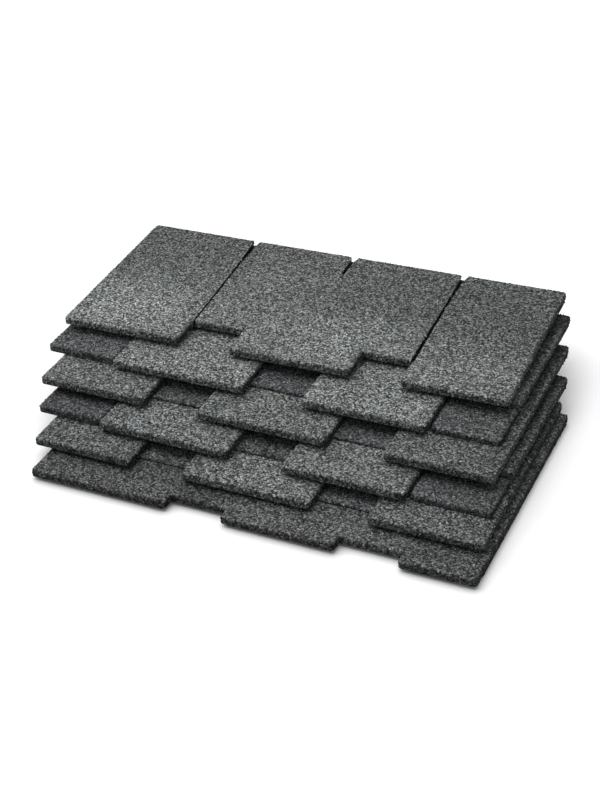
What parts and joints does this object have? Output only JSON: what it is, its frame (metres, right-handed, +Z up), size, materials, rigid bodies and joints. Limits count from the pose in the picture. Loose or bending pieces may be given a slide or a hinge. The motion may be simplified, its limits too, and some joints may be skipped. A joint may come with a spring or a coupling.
{
  "type": "bundle of asphalt shingles",
  "caption": "Opened bundle of laminated asphalt shingles: thick tooth-cut sheets bonded on thin dark backings, stacked flat in forward steps.",
  "frame": {"origin": "middle of the bottom shingle's underside", "axes": "+X along the bottom shingle's length, +Y from its front teeth to its back edge, +Z up through the stack"},
  "size_m": [1.0998, 0.8919, 0.144],
  "materials": {
    "tooth_granules": "grey mineral granules pressed into asphalt",
    "backing_granules": "charcoal mineral granules pressed into asphalt"
  },
  "bodies": {
    "root": {"tooth_sheet_1": "tooth_granules", "tooth_sheet_2": "tooth_granules", "tooth_sheet_3": "tooth_granules", "tooth_sheet_4": "tooth_granules", "tooth_sheet_5": "tooth_granules", "tooth_sheet_6": "tooth_granules", "backing_1": "backing_granules", "backing_2": "backing_granules", "backing_3": "backing_granules", "backing_4": "backing_granules", "backing_5": "backing_granules", "backing_6": "backing_granules"}
  },
  "joints": []
}
